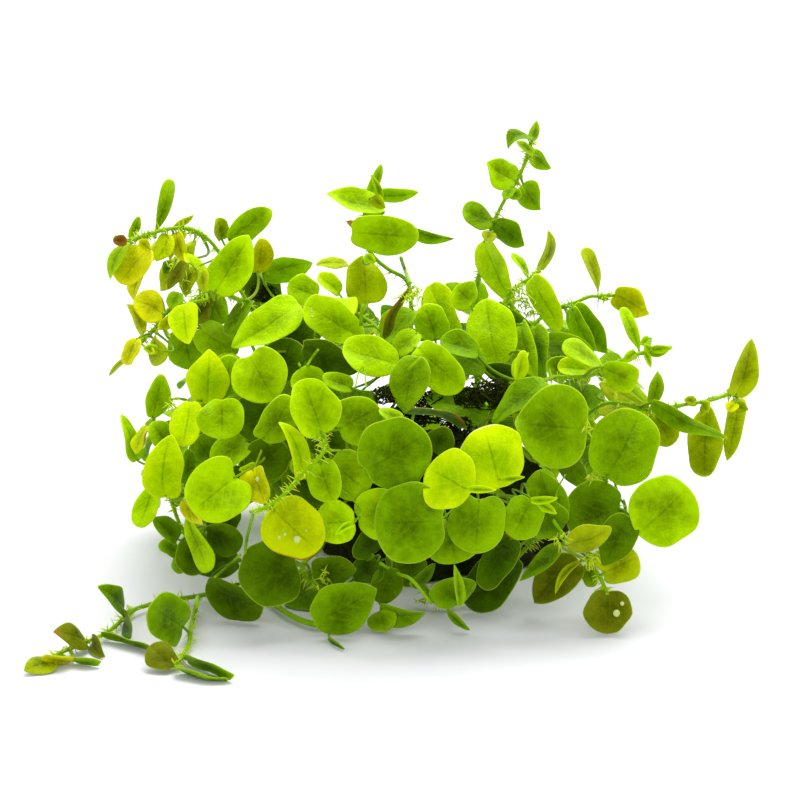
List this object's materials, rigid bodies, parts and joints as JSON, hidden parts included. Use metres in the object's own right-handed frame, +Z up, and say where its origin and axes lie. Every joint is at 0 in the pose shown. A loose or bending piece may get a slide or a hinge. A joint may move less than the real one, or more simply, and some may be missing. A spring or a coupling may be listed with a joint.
{
  "type": "floating aquarium plant clump",
  "caption": "Picked clump of a floating aquarium plant: round green leaves on thin stems with fine rootlets, heaped round a root tangle, a side shoot trailing at the foot",
  "frame": {"origin": "on the surface that the clump rests on, under the middle of its root tangle", "axes": "+X to the right and +Z up as the picture shows the clump, +Y away from the viewer. X is the clump's longest extent and Z its shortest"},
  "size_m": [0.1658, 0.12, 0.0962],
  "materials": {
    "leaf_lime": "waxy, slightly translucent",
    "leaf_mid": "waxy, slightly translucent",
    "leaf_deep": "waxy",
    "leaf_yellow": "waxy, slightly translucent",
    "stem_green": "satin",
    "root_brown": "matt, wet"
  },
  "bodies": {
    "root": {"leaf_crown_1": "leaf_lime", "leaf_crown_2": "leaf_mid", "leaf_crown_3": "leaf_yellow", "leaf_crown_4": "leaf_lime", "leaf_crown_5": "leaf_lime", "leaf_crown_6": "leaf_lime", "leaf_foot_left_1": "leaf_lime", "leaf_foot_left_2": "leaf_lime", "leaf_foot_left_3": "leaf_lime", "leaf_foot_left_4": "leaf_mid", "leaf_foot_left_5": "leaf_mid", "leaf_foot_middle_1": "leaf_deep", "leaf_foot_middle_2": "leaf_deep", "leaf_foot_middle_3": "leaf_mid", "leaf_foot_right_1": "leaf_lime", "leaf_foot_right_2": "leaf_lime", "leaf_foot_right_3": "leaf_mid", "leaf_foot_right_4": "leaf_mid", "leaf_foot_right_5": "leaf_deep", "leaf_front_1": "leaf_lime", "leaf_front_2": "leaf_mid", "leaf_front_3": "leaf_mid", "leaf_front_4": "leaf_deep", "leaf_front_5": "leaf_yellow", "leaf_front_6": "leaf_lime", "leaf_front_7": "leaf_mid", "leaf_left_1": "leaf_lime", "leaf_left_2": "leaf_lime", "leaf_left_3": "leaf_mid", "leaf_left_4": "leaf_mid", "leaf_right_far_1": "leaf_lime", "leaf_right_low_1": "leaf_mid", "leaf_right_low_2": "leaf_mid", "leaf_right_low_3": "leaf_mid", "leaf_right_low_4": "leaf_deep", "leaf_right_middle_1": "leaf_deep", "leaf_right_upper_1": "leaf_lime", "leaf_top_middle_1": "leaf_lime", "leaf_top_right_1": "leaf_lime", "leaf_trail_fork_1": "leaf_mid", "root_tangle": "root_brown", "shoot_back_left": "stem_green", "shoot_back_middle": "stem_green", "shoot_back_right": "stem_green", "shoot_crown": "stem_green", "shoot_foot_left": "stem_green", "shoot_foot_middle": "stem_green", "shoot_foot_right": "stem_green", "shoot_front": "stem_green", "shoot_left": "stem_green", "shoot_right_far": "stem_green", "shoot_right_low": "stem_green", "shoot_right_middle": "stem_green", "shoot_right_upper": "stem_green", "shoot_top_middle": "stem_green", "shoot_top_right": "stem_green", "shoot_trail": "stem_green", "shoot_trail_fork": "stem_green", "shoot_upper_left": "stem_green"}
  },
  "joints": []
}
